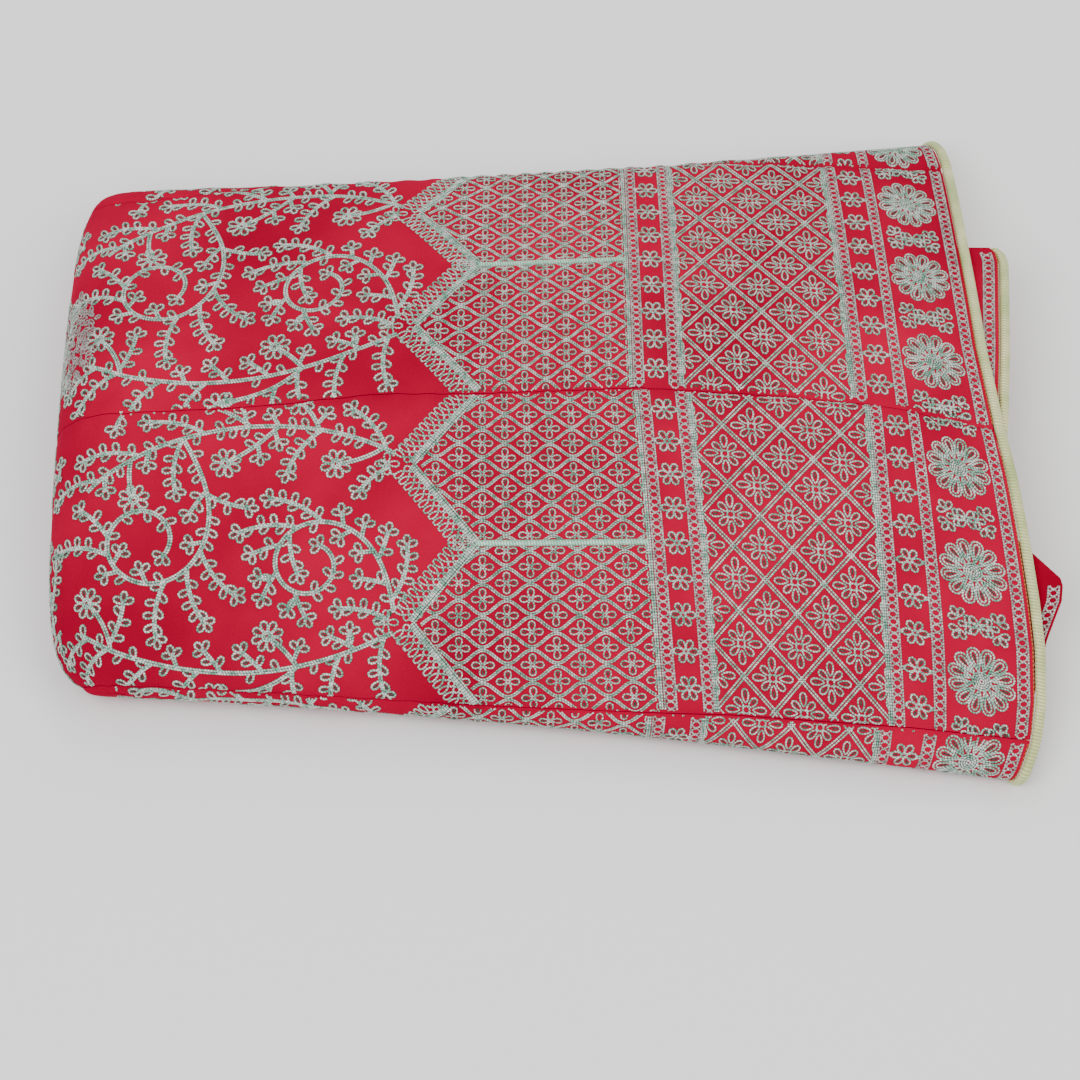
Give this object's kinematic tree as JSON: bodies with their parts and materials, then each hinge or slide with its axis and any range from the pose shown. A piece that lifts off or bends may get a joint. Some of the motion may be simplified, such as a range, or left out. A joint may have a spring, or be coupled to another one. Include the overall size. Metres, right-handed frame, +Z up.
{
  "type": "lehenga skirt",
  "caption": "Flared panelled velvet skirt with cord embroidery, folded lengthwise and then in half, lying flat with its piped hem border on top.",
  "frame": {"origin": "middle of the folded bundle's box, on the surface that it lies on", "axes": "+X along the bundle from the crosswise fold to the hem, +Y across it towards the back of the picture, +Z up"},
  "size_m": [0.5206, 0.3882, 0.069],
  "materials": {
    "velvet": "crimson velvet pile with pale gold cord embroidery",
    "inner_velvet": "the same velvet in the shade of its folds",
    "piping_gold": "ribbed pale gold satin over cord"
  },
  "bodies": {
    "root": {"panel_far_side": "velvet", "panel_far": "velvet", "panel_near": "velvet", "panel_near_side": "velvet", "folded_layers": "inner_velvet", "hem_fold_far": "velvet", "hem_fold_near": "velvet", "hem_piping": "piping_gold", "hem_fold_far_piping": "piping_gold", "waistband": "velvet"}
  },
  "joints": []
}
